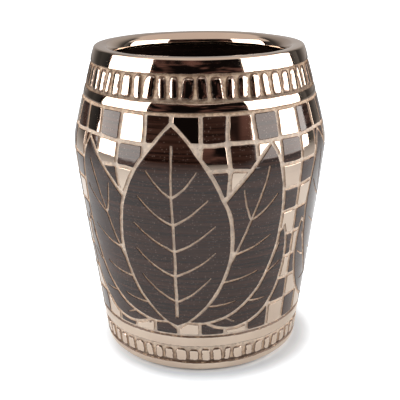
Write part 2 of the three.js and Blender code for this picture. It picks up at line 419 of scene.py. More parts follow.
def link_finish(nodes, shader, colour, roughness, height, bump, depth):
    """Joins a finish to its shader, with its relief in millimetres of depth."""
    nodes.link(colour, shader.inputs["Base Color"])
    nodes.link(roughness, shader.inputs["Roughness"])
    relief = nodes.add("ShaderNodeBump", {"Height": height, "Strength": bump, "Distance": depth * MM})
    nodes.link(relief.outputs["Normal"], shader.inputs["Normal"])


# Scored rings painted dark as shade in their grooves: their height in millimetres and how far they are
# darkened
SHADED_RINGS = (
    (span("foot_lustre")[1] + 0.25, 1.0),
    ((span("shoulder_lustre")[1] + span("upper_tile_band")[0]) / 2, 0.75),
    (span("lip_lustre")[0] - LIP_SPREAD, 0.45),
)


def painted_ring_shade(nodes, level, darkness):
    """How far a scored ring at one height is painted dark as shade, in patches."""
    off = nodes.math("ABSOLUTE", nodes.math("SUBTRACT", nodes.along("Z"), level * MM))
    patch = nodes.ramp(nodes.noise(per_metre=90.0), 0.3, 0.6, 0.35 * darkness, 0.9 * darkness)
    return nodes.times(nodes.ramp(off, 0.7 * MM, 0.3 * MM), patch)


def painted_groove_light(nodes):
    """How much paler the clay is painted from the lower tiles to the top of the field: painted light that
    lifts the shade in the deep scored lines.
    """
    low, high = span("lower_tile_band")[0], span("check_ground")[1]
    height = nodes.along("Z")
    above = nodes.ramp(height, (low - 2) * MM, (low + 8) * MM, 0.0, 0.42)
    below = nodes.ramp(height, (high + 0.5) * MM, (high - 0.5) * MM)
    return nodes.times(above, below)


def clay_finish():
    """Bare tan clay, stained where the tool dragged, with painted shade in some scored rings and painted
    light in the lines of the field.
    """
    shaded, lit = (0.50, 0.335, 0.22, 1), (0.80, 0.595, 0.42, 1)
    stained, groove_light = (0.22, 0.12, 0.07, 1), (0.95, 0.84, 0.74, 1)
    speck, groove_shade = (0.16, 0.08, 0.05, 1), (0.05, 0.024, 0.014, 1)
    material, nodes, shader = new_finish("bare_clay")
    shader.inputs["Specular IOR Level"].default_value = 0.3
    grain = nodes.noise(per_metre=900.0, detail=3.0)
    stain = nodes.ramp(nodes.noise(per_metre=260.0, detail=3.0), 0.5, 0.68)
    specks = nodes.group(SPECKLE, {"Specks per Metre": 1500.0, "Share": 0.12})
    colour = nodes.blend(nodes.ramp(grain, 0.38, 0.62), shaded, lit)
    colour = nodes.blend(nodes.times(stain, 0.4), colour, stained)
    # Painted light: paler clay in the lines from the lower tiles to the top of the field, lifting the shade
    # of the deep grooves
    colour = nodes.blend(painted_groove_light(nodes), colour, groove_light)
    colour = nodes.blend(nodes.times(specks, 0.5), colour, speck)
    # Painted shade: dark patches in the scored rings, where shade falls in their grooves
    for level, darkness in SHADED_RINGS:
        colour = nodes.blend(painted_ring_shade(nodes, level, darkness), colour, groove_shade)
    roughness = nodes.ramp(grain, 0.2, 0.8, 0.42, 0.68)
    link_finish(nodes, shader, colour, roughness, grain, bump=0.7, depth=0.5)
    return material


def dark_glaze_finish():
    """Thick brown-black gloss with the lines of the wheel and pale specks in it."""
    deep, drawn, clouded = (0.012, 0.0042, 0.0026, 1), (0.058, 0.0235, 0.015, 1), (0.036, 0.0155, 0.010, 1)
    speck, bare = (0.19, 0.13, 0.105, 1), (0.12, 0.055, 0.028, 1)
    material, nodes, shader = new_finish("dark_glaze")
    shader.inputs["IOR"].default_value = 1.5
    lines = nodes.group(THROWING_LINES, {"Lines per Metre": 1100.0, "Breaks": 26.0})
    specks = nodes.group(SPECKLE, {"Specks per Metre": 1700.0, "Share": 0.3})
    thin = nodes.group(THIN_EDGE, {"Raggedness": 0.9, "Reach": 0.7})
    cloud = nodes.ramp(nodes.noise(per_metre=38.0, detail=3.0), 0.35, 0.65)
    colour = nodes.blend(lines, deep, drawn)
    colour = nodes.blend(nodes.times(cloud, 0.4), colour, clouded)
    colour = nodes.blend(nodes.times(specks, 0.6), colour, speck)
    colour = nodes.blend(thin, colour, bare)
    roughness = nodes.ramp(lines, 0.0, 1.0, 0.05, 0.11)
    height = nodes.math("MULTIPLY_ADD", specks, 0.25, lines)
    link_finish(nodes, shader, colour, roughness, height, bump=0.05, depth=0.12)
    return material


def lustre_finish():
    """Pale bronze lustre, fired on as bright as a mirror, a little clouded, brown where it thins."""
    dull, bright = (0.545, 0.445, 0.367, 1), (0.61, 0.512, 0.423, 1)
    thinned, bare = (0.11, 0.055, 0.029, 1), (0.44, 0.285, 0.175, 1)
    material, nodes, shader = new_finish("bronze_lustre")
    cloud = nodes.ramp(nodes.noise(per_metre=60.0, detail=3.0), 0.3, 0.7)
    lines = nodes.group(THROWING_LINES, {"Lines per Metre": 500.0, "Breaks": 40.0})
    thin = nodes.group(THIN_EDGE, {"Raggedness": 0.9, "Reach": 0.95})
    colour = nodes.blend(cloud, dull, bright)
    colour = nodes.blend(nodes.ramp(thin, 0.05, 0.4), colour, thinned)
    colour = nodes.blend(nodes.ramp(thin, 0.8, 0.95), colour, bare)
    roughness = nodes.ramp(nodes.math("MULTIPLY_ADD", cloud, 0.1, thin), 0.0, 1.0, 0.05, 0.5)
    link_finish(nodes, shader, colour, roughness, lines, bump=0.035, depth=0.15)
    nodes.link(nodes.ramp(thin, 0.05, 0.5, 1.0, 0.0), shader.inputs["Metallic"])
    return material


def liner_finish():
    """The dark gloss inside, brown-black, ringed by the wheel."""
    deep, drawn, speck = (0.010, 0.0055, 0.0042, 1), (0.022, 0.012, 0.009, 1), (0.06, 0.036, 0.026, 1)
    material, nodes, shader = new_finish("liner_glaze")
    lines = nodes.group(THROWING_LINES, {"Lines per Metre": 420.0, "Breaks": 18.0})
    specks = nodes.group(SPECKLE, {"Specks per Metre": 1700.0, "Share": 0.15})
    colour = nodes.blend(lines, deep, drawn)
    colour = nodes.blend(nodes.times(specks, 0.5), colour, speck)
    roughness = nodes.ramp(lines, 0.0, 1.0, 0.12, 0.24)
    link_finish(nodes, shader, colour, roughness, lines, bump=0.12, depth=0.3)
    return material


CLAY = clay_finish()
DARK_GLAZE = dark_glaze_finish()
LUSTRE = lustre_finish()
LINER = liner_finish()


# The thrown pot and its plain coats

def lip_curve(drawn_in, steps):
    """The lip: a tight edge that runs on from the wall, a barely domed top and a roll into the mouth."""
    lean = (SHOULDER_RADIUS - RIM_RADIUS) / (HEIGHT - SHOULDER_HEIGHT)
    edge_centre = wall_radius(EDGE_FOOT) - LIP_EDGE * math.hypot(1, lean)
    roll_centre = inner_radius(ROLL_FOOT) + LIP_ROLL

    def arc(centre, z, radius, start, end):
        turns = [start + (end - start) * k / steps for k in range(steps + 1)]
        return [(centre + radius * math.cos(a), z + radius * math.sin(a)) for a in turns]

    edge = arc(edge_centre, EDGE_FOOT, LIP_EDGE - drawn_in, math.atan(lean), math.pi / 2)
    roll = arc(roll_centre, ROLL_FOOT, LIP_ROLL - drawn_in, math.pi / 2, math.pi)

    def dome(t):
        return edge_centre + (roll_centre - edge_centre) * t, HEIGHT - drawn_in + 4 * LIP_DOME * t * (1 - t)

    return edge + [dome(t) for t in (0.25, 0.5, 0.75)] + roll


def inside_curve(top, outset, step):
    """The inside, from a height down the wall and round the fillet to the centre of the floor."""
    floor = FLOOR_THICKNESS - outset
    turn = floor + FLOOR_FILLET
    centre = inner_radius(turn) + outset - FLOOR_FILLET
    wall = [(inner_radius(z) + outset, z) for z in spaced(turn, top, step)][::-1]
    turns = [math.pi / 2 * k / FILLET_STEPS for k in range(1, FILLET_STEPS + 1)]
    fillet = [(centre + FLOOR_FILLET * math.cos(a), turn - FLOOR_FILLET * math.sin(a)) for a in turns]
    flat = [(centre * share, floor) for share in FLOOR_RINGS]
    return wall + fillet + flat + [(0.0, floor)]


def throw_clay_body():
    """The pot of bare clay: foot ring, scraped wall, and a lip and inside that lie under their coats."""
    inset = RELIEF + SEAT
    ring = wall_radius(0) - inset
    recess = ring - FOOT_RING
    top = EDGE_FOOT - inset
    underside = [(0.0, FOOT_RECESS), (recess * 0.5, FOOT_RECESS)]
    underside += [(recess + across, FOOT_RECESS + up) for across, up in RECESS_CORNER]
    underside += [(recess + across, up) for across, up in RING_INNER_CORNER]
    underside += [(ring + across, up) for across, up in RING_OUTER_CORNER]
    outside = [(wall_radius(z) - RELIEF, z) for z in spaced(FOOT_EASE, top, CLAY_STEP)]
    covered = lip_curve(inset, CLAY_LIP_STEPS)[:-1] + inside_curve(ROLL_FOOT, inset, HIDDEN_STEP)
    bm = spin_section(underside + outside + covered, CLAY_TURN, closed=False)
    for vert in bm.verts:
        on_outside = vert.co.xy.length > wall_radius(vert.co.z) - inset
        if on_outside and FOOT_EASE <= vert.co.z <= top:
            scrape = sum(height * noise.noise(vert.co * fineness) for height, fineness in SCRAPES)
            vert.co = on_wall(turn_of(vert.co.x, vert.co.y), vert.co.z, scrape)
    finish_piece("clay_pot", bm, [CLAY], "clay", ["clay_body"])


LINER_TOP = span("liner_glaze")[1]


def brushed_edge(angle, z):
    """How far the edge between the lip's lustre and the liner wanders, dying away up and down the wall."""
    fade = max(0.0, 1 - abs(z - LINER_TOP) / BRUSH_REACH)
    slow, quick = stray(angle, 0, reach=0.3, seed=8), stray(angle, 0, reach=0.1, seed=9)
    return fade * (BRUSH_STRAY * slow + BRUSH_TREMOR * quick)


def line_with_glaze():
    """The dark glaze inside, over the spiral ridges of the throwing, with a brushed edge under the lip."""
    face = inside_curve(LINER_TOP, 0.0, LINER_STEP)
    seat = inside_curve(LINER_TOP, LINER_THICKNESS, HIDDEN_STEP)
    bm = spin_section(face[::-1] + seat, LINER_TURN, closed=False)
    for vert in bm.verts:
        radius = vert.co.xy.length
        angle = turn_of(vert.co.x, vert.co.y)
        vert.co.z += brushed_edge(angle, vert.co.z)
        if radius > RIDGE_CENTRE_GAP and vert.co.z < LINER_TOP - RIDGE_TOP_GAP:
            spiral = math.sin(angle + vert.co.z * math.tau / RIDGE_PITCH)
            ridge = RIDGE * spiral + RIDGE_STRAY * stray(angle, vert.co.z, reach=0.4, seed=3)
            vert.co.xy *= 1 + ridge / radius
    finish_piece("inside_glaze", bm, [LINER], "liner_glaze", ["liner_glaze"])


def mark_rim(bm, depth_at):
    """Stores how close each point is to a scored edge, for the finishes to read."""
    layer = bm.verts.layers.float.new("rim")
    for vert in bm.verts:
        vert[layer] = depth_at(vert)


def line_wander(angle, z):
    """How far a scored line strays up or down."""
    z *= LINE_CHANGE
    slow, quick = stray(angle, z, reach=0.3, seed=4), stray(angle, z, reach=0.08, seed=5)
    return LINE_STRAY * (slow + LINE_TREMOR * quick)


def coat_lip():
    """The lustre over the lip, from its scored line outside, over the top and down to the liner."""
    low = span("lip_lustre")[0] - LIP_SPREAD
    middle, half = (low + EDGE_FOOT) / 2, (EDGE_FOOT - low) / 2
    heights = eased(low, EDGE_FOOT + EDGE, LIP_STEP)[:-len(EDGE_STATIONS)]
    outside = [(wall_radius(z) + LIP_CROWN * (1 - ((z - middle) / half) ** 2), z) for z in heights]
    inside = [(inner_radius(z), z) for z in spaced(LINER_TOP + LINER_GAP, ROLL_FOOT, ROLL_STEP)][::-1]
    face = outside + lip_curve(0.0, COAT_LIP_STEPS)[:-1] + inside
    bm = spin_section(coat_section(face), COAT_TURN, closed=True)
    ridge = wall_radius(ROLL_FOOT) - LIP_THICKNESS / 2

    def worn(vert):
        on_outside = vert.co.xy.length > ridge
        return max(0.0, 1 - (vert.co.z - low) / BAND_RIM) if on_outside else 0.0

    mark_rim(bm, worn)
    for vert in bm.verts:
        angle = turn_of(vert.co.x, vert.co.y)
        radius = vert.co.xy.length
        on_outside = radius > ridge
        fade = min(1.0, max(0.0, (HEIGHT - vert.co.z) / (HEIGHT - low)))
        vert.co.xy *= 1 + wall_hand(angle, vert.co.z) / radius
        vert.co.z += fade ** 2 * line_wander(angle, low) if on_outside else brushed_edge(angle, vert.co.z)
        vert.co.z += LIP_STRAY * stray(angle, 0, reach=0.6, seed=6)
    finish_piece("lip_lustre_band", bm, [LUSTRE], "lustre", ["lip_lustre"])


def spread_span(node, spread):
    """Lowest and highest point of a coat that spreads below and above its solid."""
    low, high = span(node)
    return low - spread[0], high + spread[1]


def coat_band(name, node, crown, spread, brow):
    """A plain lustre band round the wall, a little crowned, its top edge sloped back by its brow."""
    low, high = spread_span(node, spread)
    middle, half = (low + high) / 2, (high - low) / 2

    def face_radius(z):
        return wall_radius(z) - crown * ((z - middle) / half) ** 2 - brow * max(0.0, 1 - (high - z) / BROW)

    face = [(face_radius(z), z) for z in eased(low, high, BAND_STEP)]
    bm = spin_section(coat_section(face), COAT_TURN, closed=True)

    def worn(vert):
        sloped = BROW_WEAR if brow and high - vert.co.z < BROW else 0.0
        return max(sloped, 1 - min(vert.co.z - low, high - vert.co.z) / BAND_RIM)

    mark_rim(bm, worn)
    for vert in bm.verts:
        angle = turn_of(vert.co.x, vert.co.y)
        share = (vert.co.z - low) / (high - low)
        vert.co.xy *= 1 + wall_hand(angle, vert.co.z) / vert.co.xy.length
        vert.co.z += (1 - share) * line_wander(angle, low) + share * line_wander(angle, high)
    finish_piece(name, bm, [LUSTRE], "lustre", [node])


# The rows of raised tiles

def cushion(u, v, half_width, half_height, crown, brow, skew, rim_width):
    """A point of a tile and its wear: a rounded rectangle that swells to its middle, with a sloped brow."""
    across, up = math.sin(u * math.pi / 2), math.sin(v * math.pi / 2)
    arch = TILE_ARCH_TOP if up > 0 else TILE_ARCH_FOOT
    x = half_width * across * (1 - arch * up ** TILE_POWER)
    y = half_height * up - TILE_CORNER * half_width * up * across ** TILE_POWER
    swell = (1 - across ** 2) * (1 - TILE_END_DROP * up ** TILE_POWER) + skew * across
    slope = max(0.0, (up - TILE_BROW_START) / TILE_BROW_REACH) if brow else 0.0
    from_side = half_width * (1 - abs(across))
    from_end = TILE_END_RIM * half_height * (1 - abs(up)) + TILE_BROW_RIM * slope
    rim = min(TILE_WEAR, 1 - min(from_side, from_end) / rim_width)
    worn = max(min(BROW_WEAR, TILE_BROW_RATE * slope), rim)
    return x, y, RELIEF - crown + crown * swell - brow * slope, worn


def lay_tiles(name, node, spread, crown, brow, score, rim_width, seed):
    """A row of raised tiles between scored lines, each a little unlike its neighbours."""
    low, high = spread_span(node, spread)
    chance = random.Random(seed)
    middle = (low + high) / 2
    radius = wall_radius(middle)
    pitch = math.tau / TILE_COUNT
    scores = [(k + chance.uniform(-TILE_DRIFT, TILE_DRIFT)) * pitch for k in range(TILE_COUNT)]
    bm = bmesh.new()
    rim = bm.verts.layers.float.new("rim")
    for k in range(TILE_COUNT):
        left = scores[k]
        right = scores[k + 1] if k + 1 < TILE_COUNT else scores[0] + math.tau
        half_width = ((right - left) * radius - score * chance.uniform(*TILE_SCORE_RANGE)) / 2
        half_height = (high - low) / 2 + chance.uniform(0.0, TILE_GROWTH)
        centre = (left + right) / 2 + math.radians(TILE_TURN)
        lean = chance.uniform(-TILE_LEAN, TILE_LEAN)
        bow = chance.uniform(-TILE_BOW, TILE_BOW)
        skew = chance.uniform(-TILE_SKEW, TILE_SKEW)
        rise = chance.uniform(-TILE_SHIFT, TILE_SHIFT)
        tile_crown = crown * chance.uniform(*TILE_CROWN_RANGE)
        grid = bmesh.ops.create_grid(bm, x_segments=TILE_STEPS, y_segments=TILE_STEPS, size=1.0)
        for vert in grid["verts"]:
            u, v = vert.co.x, vert.co.y
            x, y, stand, vert[rim] = cushion(u, v, half_width, half_height, tile_crown, brow, skew, rim_width)
            strayed = x + lean * y + bow * (1 - v ** 2)
            vert.co = (centre + strayed / radius, middle + rise + y, stand)
    scored = [edge for edge in bm.edges if edge.is_boundary]
    walls = bmesh.ops.extrude_edge_only(bm, edges=scored)["geom"]
    for vert in of_kind(bmesh.types.BMVert, walls):
        vert.co.z = -SEAT
    for face in of_kind(bmesh.types.BMFace, walls):
        face.material_index = 1
    bmesh.ops.holes_fill(bm, edges=[edge for edge in bm.edges if edge.is_boundary], sides=0)
    for vert in bm.verts:
        vert.co = on_wall(*vert.co)
    face_outwards(bm)
    finish_piece(name, bm, [LUSTRE, CLAY], "lustre", [node])


# The picture field, drawn on the unrolled wall of one spray and then wrapped round the pot

FIELD_LOW, FIELD_HIGH = span("check_ground")
FIELD_RADIUS = (wall_radius(FIELD_LOW) + wall_radius(FIELD_HIGH)) / 2
HALF_PITCH = math.pi * FIELD_RADIUS / SPRAY_COUNT
LOW_LEAF_REACH = HALF_PITCH - SPRAY_GAP / 2
SIDE_LEAF_REACH = LOW_LEAF_REACH - SIDE_LEAF_SETBACK
LEAF_BASE = FIELD_LOW + LEAF_MARGIN
LEAF_RISE = FIELD_HIGH - LEAF_MARGIN - LEAF_BASE

# Base, bend and tip of each midrib, as shares of the leaf's reach and rise
CENTRE_ROUTE = ((0, 0), (0, 0.5), (0, 1))
SIDE_ROUTE = ((0.08, 0.04), (0.75, 0.34), (1, 1))
LOW_ROUTE = ((0.2, 0.16), (0.78, 0.14), (1, 1))


def bowed(base, bend, tip, t):
    """A point of the curve from a base to a tip, drawn towards a bend."""
    return base * (1 - t) ** 2 + bend * 2 * t * (1 - t) + tip * t ** 2


class Leaf:
    """One leaf of a spray: its midrib on the unrolled wall and how wide it swells."""

    def __init__(self, name, half_width, route, reach, rise, veins):
        self.name = name
        self.half_width = half_width
        self.points = [Vector((x * reach, LEAF_BASE + y * rise)) for x, y in route]
        self.veins = veins

    def rib(self, t):
        return bowed(*self.points, t)

    def along(self, t):
        base, bend, tip = self.points
        return ((bend - base) * (1 - t) + (tip - bend) * t).normalized()

    def across(self, t):
        along = self.along(t)
        return Vector((along.y, -along.x))

    def swell(self, t):
        return self.half_width * math.sin(math.pi * t ** LEAF_SKEW) ** LEAF_FULLNESS

    def beside(self, t, side, margin):
        return self.rib(t) + self.across(t) * side * (self.swell(t) + margin)

    def outline(self, margin):
        lead = margin * LEAF_END_LEAD
        steps = [k / LEAF_STEPS for k in range(1, LEAF_STEPS)]
        right = [self.beside(t, 1, margin) for t in steps]
        left = [self.beside(t, -1, margin) for t in reversed(steps)]
        base = self.rib(0) - self.along(0) * lead
        tip = self.rib(1) + self.along(1) * lead
        return [base] + right + [tip] + left

    def scores(self):
        """The scored midrib and veins, as slots that run out to a point."""
        slots = [slot([self.rib(t) for t in spaced(RIB_START, RIB_END, RIB_STEP)], *RIB_WIDTHS)]
        for k in range(self.veins):
            start = FIRST_VEIN + VEIN_SPREAD * k / max(1, self.veins - 1)
            end = start + VEIN_LEAD
            for side in (-1, 1):
                reach = self.across(end) * side * self.swell(end) * VEIN_REACH
                root, tip = self.rib(start), self.rib(end) + reach
                bend = self.rib(start + VEIN_BEND) + reach * 0.5
                slots.append(slot([bowed(root, bend, tip, t) for t in spaced(0, 1, VEIN_STEP)], *VEIN_WIDTHS))
        return slots


def slot(curve, start, end):
    """A tapering outline on both sides of a drawn line."""
    left, right = [], []
    for k, point in enumerate(curve):
        ahead = curve[min(k + 1, len(curve) - 1)] - curve[max(k - 1, 0)]
        out = Vector((ahead.y, -ahead.x)).normalized()
        half = start + (end - start) * k / (len(curve) - 1)
        right.append(point + out * half)
        left.append(point - out * half)
    return right + left[::-1]


LEAVES = (
    Leaf("centre_leaf", CENTRE_LEAF_SWELL, CENTRE_ROUTE, 0.0, LEAF_RISE, 5),
    Leaf("left_leaf", SIDE_LEAF_SWELL, SIDE_ROUTE, -SIDE_LEAF_REACH, LEAF_RISE - SIDE_LEAF_DROP, 4),
    Leaf("right_leaf", SIDE_LEAF_SWELL, SIDE_ROUTE, SIDE_LEAF_REACH, LEAF_RISE - SIDE_LEAF_DROP, 4),
    Leaf("left_low_leaf", LOW_LEAF_SWELL, LOW_ROUTE, -LOW_LEAF_REACH, LOW_LEAF_RISE, 3),
    Leaf("right_low_leaf", LOW_LEAF_SWELL, LOW_ROUTE, LOW_LEAF_REACH, LOW_LEAF_RISE, 3),
)


def check_squares(chance):
    """The squares of one spray's ground, by column and row, as a steady but free hand draws them."""
    def crossing(column, row):
        x = HALF_PITCH * (2 * column / CHECK_COLUMNS - 1)
        y = FIELD_LOW + (FIELD_HIGH - FIELD_LOW) * row / CHECK_ROWS
        side = 0.0 if column in (0, CHECK_COLUMNS) else 1.0
        end = 0.0 if row in (0, CHECK_ROWS) else 1.0
        x += side * chance.uniform(-CHECK_STRAY, CHECK_STRAY)
        y += end * chance.uniform(-CHECK_STRAY, CHECK_STRAY)
        return Vector((x, y))

    corners = {(i, j): crossing(i, j) for i in range(CHECK_COLUMNS + 1) for j in range(CHECK_ROWS + 1)}
    half = CHECK_SCORE / 2
    squares = {}
    for i in range(CHECK_COLUMNS):
        for j in range(CHECK_ROWS):
            around = [corners[i, j], corners[i + 1, j], corners[i + 1, j + 1], corners[i, j + 1]]
            low = 0.0 if j == 0 else half
            high = 0.0 if j == CHECK_ROWS - 1 else half
            pull = [(half, low), (-half, low), (-half, -high), (half, -high)]
            inner = [corner + Vector(shift) for corner, shift in zip(around, pull)]
            squares[i, j] = rounded_square(inner, CHECK_CORNER)
    return squares


def rounded_square(corners, radius):
    """The outline of a square with eased corners, and points along its sides for the hand to move."""
    outline = []
    for k, corner in enumerate(corners):
        before, after = corners[k - 1], corners[(k + 1) % 4]
        into = (before - corner).normalized() * radius
        away = (after - corner).normalized() * radius
        outline += [corner + into, corner + (into + away) * CHECK_CORNER_PULL, corner + away]
        side = (after - away) - outline[-1]
        count = max(1, round(side.length / CHECK_SIDE_STEP))
        outline += [outline[-1] + side * (s / count) for s in range(1, count)]
    return outline


def unsteady(outline, seed, tremor=0):
    """An outline as a hand-held tool leaves it, with the tremor of one stroke."""
    def wander(point, scale, depth):
        return noise.noise_vector(Vector((point.x * scale, point.y * scale, depth)))

    def shift(point):
        slow = wander(point, SLOW_SCALE, seed * SLOW_SEED)
        quick = wander(point, QUICK_SCALE, seed * QUICK_SEED + tremor)
        away = min(1.0, (HALF_PITCH - abs(point.x)) / SIDE_HOLD)
        level = min(1.0, (point.y - FIELD_LOW) / END_HOLD, (FIELD_HIGH - point.y) / END_HOLD)
        drift = slow * SLOW_DRIFT + quick * QUICK_DRIFT
        return point + Vector((drift.x * max(0.0, away), drift.y * max(0.0, level)))
    return [shift(point) for point in outline]


def cut_sheet(outlines):
    """Cuts the unrolled wall along every outline: points, triangles and the outlines round each triangle."""
    points, rings = [], []
    for outline in outlines:
        rings.append(list(range(len(points), len(points) + len(outline))))
        points += outline
    lines = kdtree.KDTree(len(points))
    for k, point in enumerate(points):
        lines.insert(point.to_3d(), k)
    lines.balance()
    for x in spaced(-HALF_PITCH, HALF_PITCH, SHEET_STEP):
        for y in spaced(FIELD_LOW, FIELD_HIGH, SHEET_STEP):
            if lines.find((x, y, 0))[2] > SHEET_CLEARANCE:
                points.append(Vector((x, y)))
    corners, _, triangles, _, _, owners = geometry.delaunay_2d_cdt(points, [], rings, 1, CUT_TOLERANCE)
    return corners, triangles, [set(rings_round) for rings_round in owners]


def sweep_crumbs(bm):
    """Removes islands too small for the glaze to hold."""
    crumbs = []
    for island in islands(bm):
        if sum(face.calc_area() for face in island) < CRUMB:
            crumbs += island
    bmesh.ops.delete(bm, geom=crumbs, context="FACES")


def raise_islands(points, triangles, angle):
    """Islands of glaze laid round the wall: clay sides, edges rounded over and a level face."""
    bm = bmesh.new()
    rim = bm.verts.layers.float.new("rim")
    made = {}
    for triangle in triangles:
        for k in triangle:
            if k not in made:
                made[k] = bm.verts.new((points[k].x, points[k].y, -SEAT))
        bm.faces.new([made[k] for k in triangle])
    sweep_crumbs(bm)
    bottom = set(bm.faces)
    raised = bmesh.ops.extrude_face_region(bm, geom=list(bottom))["geom"]
    top = of_kind(bmesh.types.BMFace, raised)
    for face in set(bm.faces) - bottom - set(top):
        face.material_index = 1
    rounding = sum(rise for _, rise in EDGE_STEPS)
    lift = (0, 0, RELIEF + SEAT - rounding)
    bmesh.ops.translate(bm, vec=lift, verts=of_kind(bmesh.types.BMVert, raised))
    for width, rise in EDGE_STEPS:
        bmesh.ops.inset_region(bm, faces=top, use_boundary=True, thickness=width, depth=rise)
    for vert in bm.verts:
        vert[rim] = math.sqrt(min(1.0, max(0.0, RELIEF - vert.co.z) / rounding))
        vert.co = on_wall(angle + vert.co.x / FIELD_RADIUS, vert.co.y, vert.co.z)
    face_outwards(bm)
    return bm


def join_bmesh(target, source):
    """Adds one bmesh to another by way of a mesh, which is then dropped."""
    carrier = bpy.data.meshes.new("carrier")
    source.to_mesh(carrier)
    target.from_mesh(carrier)
    bpy.data.meshes.remove(carrier)
    source.free()


def draw_field():
    """The leaves of each spray as pieces of their own, and all the squares round the pot as two pieces."""
    ground = {"check_dark_squares": bmesh.new(), "check_lustre_squares": bmesh.new()}
    for spray in range(SPRAY_COUNT):
        angle = math.radians(SPRAY_TURN + 360 * spray / SPRAY_COUNT)
        squares = check_squares(random.Random(FIELD_SEED + spray))
        outlines = [unsteady(leaf.outline(0.0), spray) for leaf in LEAVES]
        outlines += [unsteady(leaf.outline(OUTLINE_SCORE), spray, 1) for leaf in LEAVES]
        windows = set(range(len(LEAVES), 2 * len(LEAVES)))
        scores = []
        for leaf in LEAVES:
            slots = [unsteady(outline, spray) for outline in leaf.scores()]
            scores.append(set(range(len(outlines), len(outlines) + len(slots))))
            outlines += slots
        first_square = len(outlines)
        outlines += [unsteady(square, spray) for square in squares.values()]
        points, triangles, owners = cut_sheet(outlines)
        for k, leaf in enumerate(LEAVES):
            in_front = set(range(len(LEAVES), len(LEAVES) + k))
            kept = [t for t, own in zip(triangles, owners) if k in own and not own & (in_front | scores[k])]
            name = f"spray_{spray + 1}_{leaf.name}"
            island = raise_islands(points, kept, angle)
            finish_piece(f"glazed_{name}", island, [DARK_GLAZE, CLAY], "dark_glaze", [name], ISLAND_SHARP)
        for bright, (name, bm) in enumerate(ground.items()):
            mine = {first_square + k for k, (i, j) in enumerate(squares) if (i + j) % 2 == bright}
            kept = [t for t, own in zip(triangles, owners) if own & mine and not own & windows]
            join_bmesh(bm, raise_islands(points, kept, angle))
    dark, bright = ground.items()
    finish_piece(*dark, [DARK_GLAZE, CLAY], "dark_glaze", ["check_ground"], ISLAND_SHARP)
    finish_piece(*bright, [LUSTRE, CLAY], "lustre", (), ISLAND_SHARP)


throw_clay_body()
line_with_glaze()
coat_lip()
lay_tiles("upper_tiles", "upper_tile_band", spread=(0.3, 0.3), crown=0.36, brow=0.0, score=0.7,
          rim_width=0.85, seed=11)
coat_band("shoulder_lustre_band", "shoulder_lustre", crown=0.14, spread=(0.25, 0.2), brow=0.0)
draw_field()
coat_band("hip_lustre_band", "hip_lustre", crown=0.1, spread=(0.15, 0.2), brow=0.32)
lay_tiles("lower_tiles", "lower_tile_band", spread=(0.35, -0.35), crown=0.2, brow=0.3, score=0.75,
          rim_width=0.6, seed=23)
coat_band("foot_lustre_band", "foot_lustre", crown=0.1, spread=(0.0, 0.0), brow=0.32)


# The studio

WHITE = (1, 1, 1, 1)
SKY = (0.94, 0.83, 0.77, 1)

# The table top, in metres: a disc round the foot where the white glow is left out so the vase's real shadow
# shows, set off to the right and front, and a ring of painted light at the heel that lifts that shadow
TABLE_SIZE = 4.0
SHADOW_CENTRE, SHADOW_START, SHADOW_END = (0.0015, -0.001, 0), 0.031, 0.043
GLOW_INSIDE, GLOW_OUTSIDE, GLOW_LEVEL = (0.0303, 0.0312), (0.0335, 0.0305), 0.3

# The table top as gloss shows it: its tint, its levels in the shadow and far out, and where it starts to dim;
# the shadow and the darker table near the vase are painted into its glow
TABLE_TINT = (1, 0.84, 0.70, 1)
SHADED_GLOSS, FAR_GLOSS = 0.7, 0.7
TABLE_NEAR, TABLE_FAR, TABLE_DIM = 0.1, 0.6, 0.17

# The screens, in metres: lamp faces stand close to the vase, the walls of the room further out
LAMP_RADIUS, LAMP_TOP = 0.8, 0.68
LAMP_WHITE, LAMP_CLOUD = (6.0, 5.5, 5.2), (5.6, 5.1, 4.8)
ROOM_RADIUS, WALL_TOP, CORNER_TOP = 1.3, 0.95, 1.75
CORNER_SHADE = (0.06, 0.057, 0.055)
SCREEN_STEPS, SCREEN_FADE = 24, 0.8
SCREEN_CLOUDS, SCREEN_STRETCH = 1.9, (1, 1, 2.5)

# The camera: sensor and lens in millimetres, nearest sight and place in metres, turns in degrees
SENSOR, LENS, CLIP_START = 36.0, 68.69, 0.01
CAMERA_PLACE, CAMERA_TILT, CAMERA_ROLL = (-0.0001, -0.245, 0.1315), 18.98, -0.57


def ray_kinds(nodes):
    """Whether a ray comes straight from the camera, and whether gloss or glass sent it."""
    path = nodes.add("ShaderNodeLightPath").outputs
    mirrored = nodes.math("ADD", path["Is Glossy Ray"], path["Is Transmission Ray"], clamp=True)
    return path["Is Camera Ray"], mirrored


def light_world(ambient):
    """Plain white to the camera, a warm white in gloss, and a dimmer light on the vase."""
    world = bpy.data.worlds.new("white_studio")
    world.use_nodes = True
    nodes = Nodes(world.node_tree)
    direct, mirrored = ray_kinds(nodes)
    seen = nodes.math("ADD", direct, mirrored, clamp=True)
    levels = {"Value": seen, "To Min": ambient, "To Max": 1.0}
    strength = nodes.add("ShaderNodeMapRange", levels).outputs["Result"]
    background = world.node_tree.nodes["Background"]
    nodes.link(strength, background.inputs["Strength"])
    nodes.link(nodes.blend(mirrored, WHITE, SKY), background.inputs["Color"])
    scene.world = world


